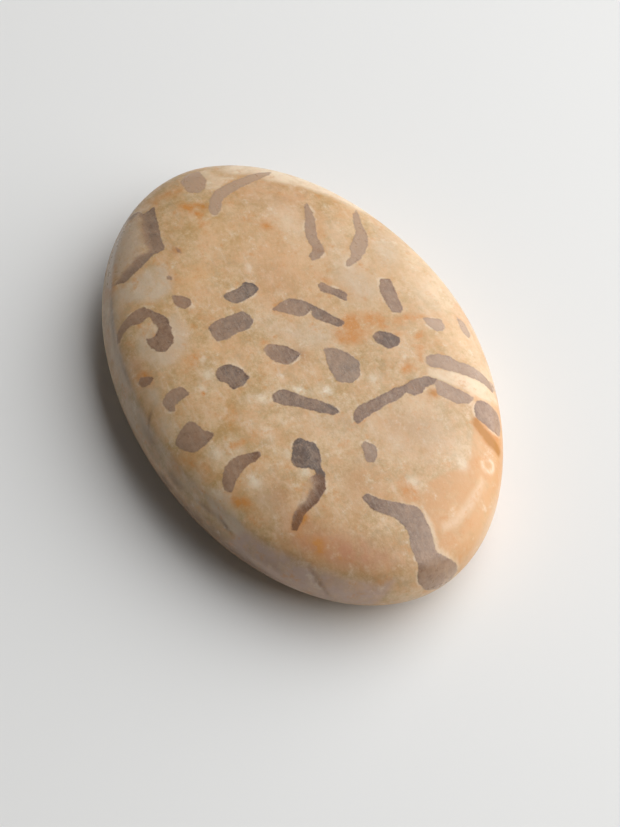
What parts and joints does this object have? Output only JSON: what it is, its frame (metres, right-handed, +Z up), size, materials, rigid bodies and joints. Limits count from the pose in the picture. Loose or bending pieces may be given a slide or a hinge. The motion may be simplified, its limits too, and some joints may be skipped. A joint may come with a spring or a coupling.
{
  "type": "polished feldspar stone",
  "caption": "Flat oval palm stone of graphic feldspar with a gently domed top, rounded edges and a flat base to rest on.",
  "frame": {"origin": "middle of the flat base that the stone rests on", "axes": "+X along the stone's length, +Y across its width, +Z up from the base through the domed top"},
  "size_m": [0.044, 0.0282, 0.0086],
  "materials": {
    "polished_feldspar": "polished to a soft gloss, peach feldspar with grey quartz figures"
  },
  "bodies": {
    "root": {"feldspar_stone": "polished_feldspar"}
  },
  "joints": []
}
